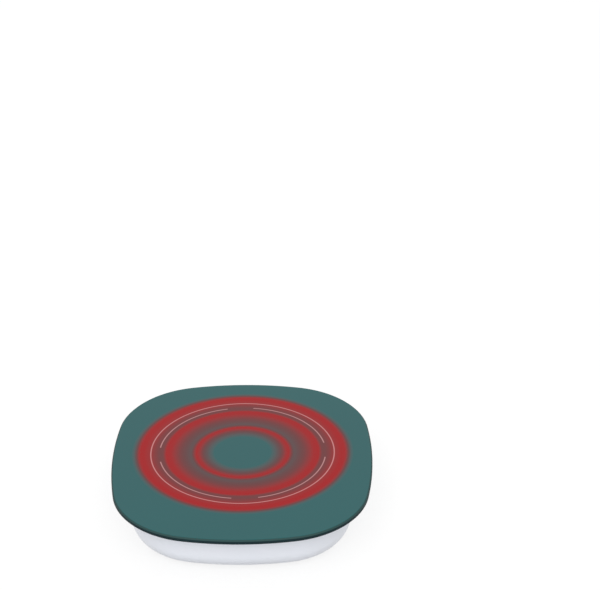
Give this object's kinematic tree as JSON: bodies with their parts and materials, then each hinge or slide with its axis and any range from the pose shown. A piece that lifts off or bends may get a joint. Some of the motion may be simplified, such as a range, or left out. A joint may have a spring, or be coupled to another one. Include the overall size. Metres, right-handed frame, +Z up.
{
  "type": "electric mug warmer",
  "caption": "Low rounded-square heating coaster: printed glass top on a white bowl-shaped housing, with a heater, board, side button and rear power inlet.",
  "frame": {"origin": "centre of the glass outline, on the plane the feet stand on", "axes": "+Z up through the glass; -Y is the front; +X is the flank with the power button; the power inlet faces +Y"},
  "size_m": [0.12, 0.132, 0.0245],
  "materials": {
    "tempered_glass": "polished, colour printed on the back, with red bands and fine silver rings",
    "black_seal": "matte foam",
    "grey_silicone": "matte",
    "spreader_aluminium": "milled",
    "mica": "layered sheet, faint sheen",
    "resistance_foil": "etched foil",
    "ceramic_fibre": "felted",
    "plated_steel": "zinc plated",
    "zinc_screw": "bright zinc",
    "sensor_resin": "cast resin",
    "fuse_case": "glazed",
    "red_wire": "silicone sleeve",
    "black_wire": "silicone sleeve",
    "white_wire": "silicone sleeve",
    "white_housing": "semi-gloss moulded",
    "foot_rubber": "matte",
    "board_laminate": "solder mask",
    "black_moulding": "moulded",
    "capacitor_can": "drawn can",
    "led_resin": "cast resin",
    "clear_lens": "clear polished",
    "brass_contact": "nickel flashed",
    "dome_rubber": "matte",
    "button_white": "semi-gloss moulded"
  },
  "bodies": {
    "housing": {"glass_plate": "tempered_glass", "glass_gasket": "black_seal", "thermal_pad": "grey_silicone", "heat_spreader": "spreader_aluminium", "mica_upper": "mica", "mica_lower": "mica", "heating_element": "resistance_foil", "insulation_pad": "ceramic_fibre", "pressure_plate": "plated_steel", "pressure_plate_screws": "zinc_screw", "sensor_carrier": "grey_silicone", "sensor_clip": "plated_steel", "clip_rivets": "spreader_aluminium", "temperature_sensor": "sensor_resin", "thermal_fuse": "fuse_case", "heater_lead": "red_wire", "fuse_leads": "black_wire", "sensor_leads": "white_wire", "inlet_leads": "black_wire", "upper_housing": "white_housing", "lower_housing": "white_housing", "housing_screws": "zinc_screw", "foot_front_left": "foot_rubber", "foot_front_right": "foot_rubber", "foot_rear_left": "foot_rubber", "foot_rear_right": "foot_rubber", "control_board": "board_laminate", "board_screws": "zinc_screw", "power_transistor": "black_moulding", "controller_chip": "black_moulding", "buck_inductor": "black_moulding", "smoothing_capacitor": "capacitor_can", "indicator_led": "led_resin", "indicator_lens": "clear_lens", "inlet_body": "black_moulding", "inlet_pin": "brass_contact", "inlet_contact": "brass_contact", "switch_body": "black_moulding", "switch_dome": "dome_rubber"},
    "button": {"power_button": "button_white", "switch_plunger": "black_moulding"}
  },
  "joints": [
    {"name": "power_button_press", "type": "slide", "parent": "housing", "child": "button", "axis": [-1, 0, 0], "range_m": [0, 0.001], "stiffness_N_per_m": 400, "springref_m": -0.001, "deforming": ["switch_dome"]}
  ]
}
